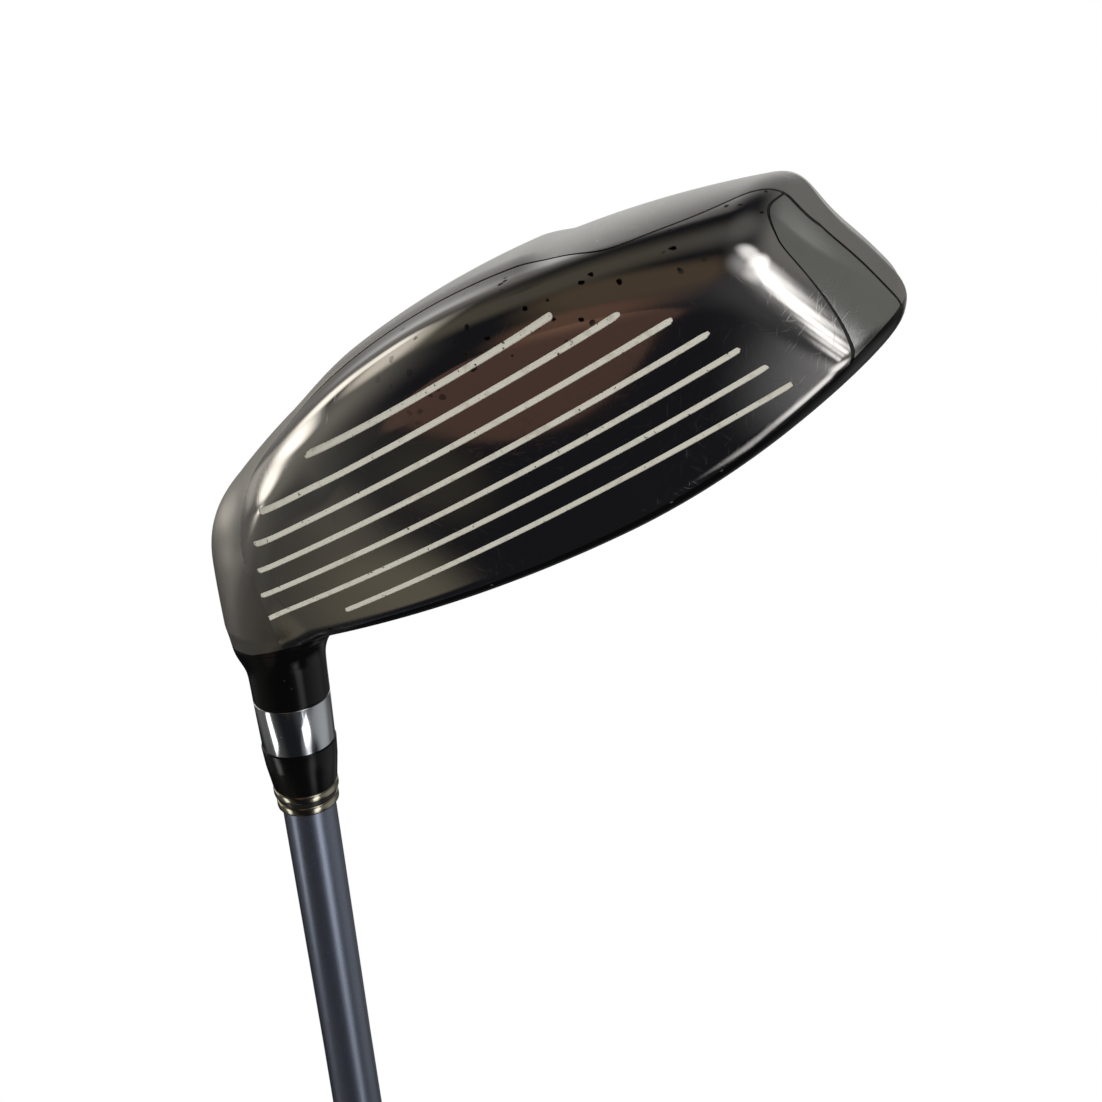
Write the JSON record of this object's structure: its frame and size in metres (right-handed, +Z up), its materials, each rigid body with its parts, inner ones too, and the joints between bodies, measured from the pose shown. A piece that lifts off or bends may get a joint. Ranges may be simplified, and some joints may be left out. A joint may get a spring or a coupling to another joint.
{
  "type": "hybrid golf club",
  "caption": "Right-handed hybrid golf club with a polished scored face, black crown, tapered graphite shaft and rubber grip.",
  "frame": {"origin": "a point on the flat spot of the sole that rests on the ground, with the club soled at address; the axis of the shaft meets the ground 35 mm to the heel of it", "axes": "+Z up, -Y towards the target (the way the face looks), -X towards the toe, +X towards the heel and the player; the shaft rises at 62 degrees from +X in the XZ plane"},
  "size_m": [0.5745, 0.058, 0.9027],
  "materials": {
    "cast_steel": "satin",
    "polished_steel": "mirror polished, finely scratched",
    "score_paint": "matte",
    "crown_paint": "gloss",
    "seam_fill": "satin",
    "neck_paint": "gloss",
    "band_chrome": "polished",
    "ferrule_plastic": "gloss",
    "ring_metal": "anodised satin",
    "spacer_plastic": "matte",
    "graphite": "metallic paint, satin",
    "adhesive": "cured resin",
    "weight_metal": "turned",
    "slug_metal": "sintered",
    "melt": "tacky",
    "cork": "matte",
    "tape": "matte",
    "grip_rubber": "matte"
  },
  "bodies": {
    "root": {"body_shell": "cast_steel", "face_cup": "polished_steel", "score_line_paint": "score_paint", "crown_plate": "crown_paint", "seam_paint": "seam_fill", "rear_weight": "slug_metal", "hot_melt_pad": "melt", "hosel_neck": "neck_paint", "hosel_plug": "cork", "epoxy_bond": "adhesive", "tip_weight": "weight_metal", "hosel_band": "band_chrome", "ferrule": "ferrule_plastic", "lower_trim_ring": "ring_metal", "ring_spacer": "spacer_plastic", "upper_trim_ring": "ring_metal", "shaft": "graphite", "grip_tape": "tape", "grip": "grip_rubber", "grip_cap": "grip_rubber"}
  },
  "joints": []
}
